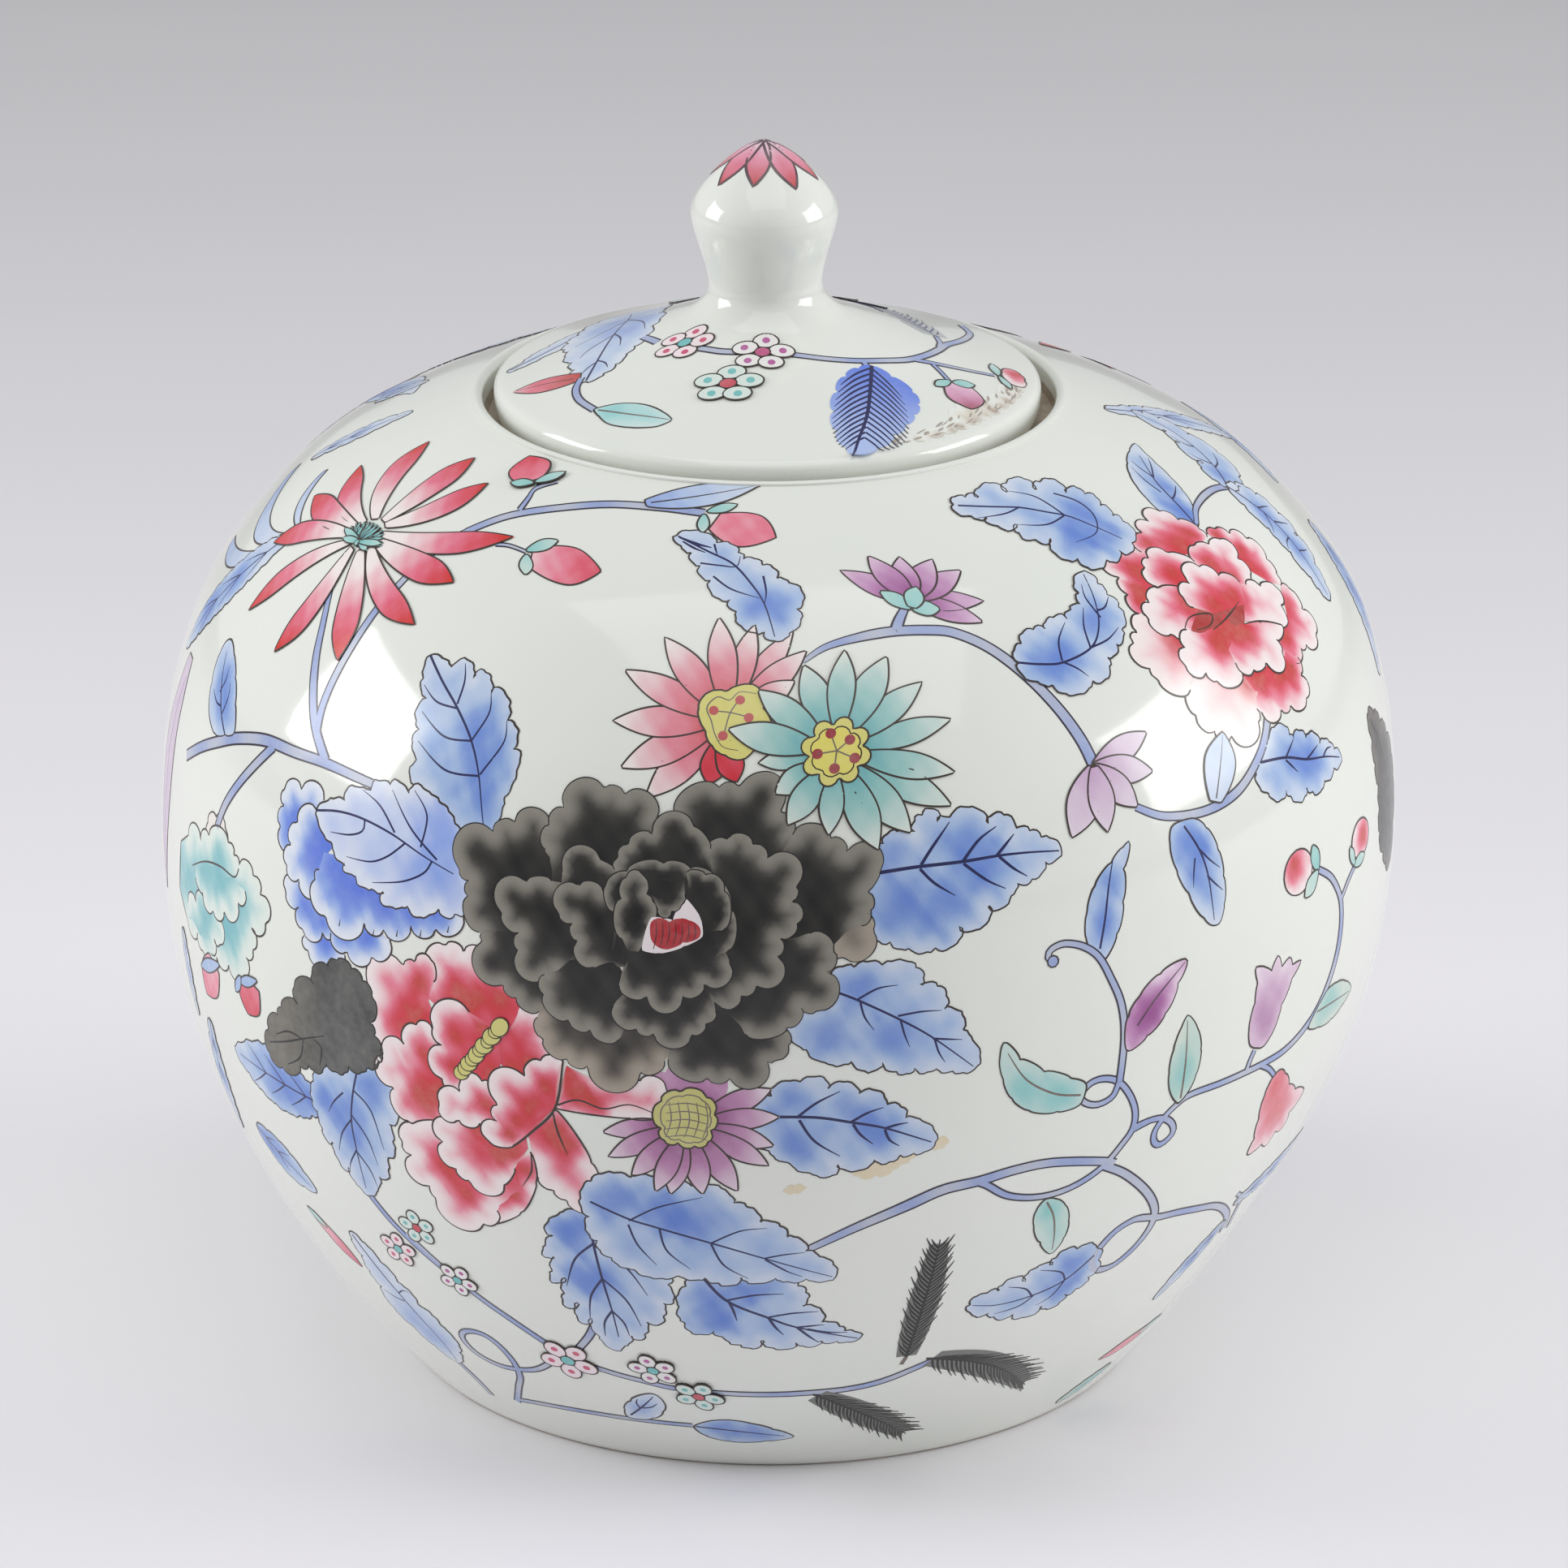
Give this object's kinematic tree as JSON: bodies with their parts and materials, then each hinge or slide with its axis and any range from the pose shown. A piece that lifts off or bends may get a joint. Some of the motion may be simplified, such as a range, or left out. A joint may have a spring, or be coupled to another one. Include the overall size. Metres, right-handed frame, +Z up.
{
  "type": "ginger jar",
  "caption": "Globular covered jar with a domed lid that drops into its mouth and a bud-shaped knob, painted all over with flowers and vines.",
  "frame": {"origin": "centre of the foot ring, on the surface the jar stands on", "axes": "+Z up along the throwing axis, -Y towards the painted front, +X to the right of the front"},
  "size_m": [0.2406, 0.2406, 0.244],
  "materials": {
    "jar_glaze": "clear gloss glaze over greenish white porcelain",
    "lid_glaze": "clear gloss glaze over greenish white porcelain",
    "knob_glaze": "clear gloss glaze over greenish white porcelain"
  },
  "bodies": {
    "jar": {"jar_body": "jar_glaze"},
    "lid": {"lid_cover": "lid_glaze", "lid_knob": "knob_glaze"}
  },
  "joints": [
    {"name": "lid_lift", "type": "slide", "parent": "jar", "child": "lid", "axis": [0, 0, 1], "range_m": [0, 0.08]}
  ]
}
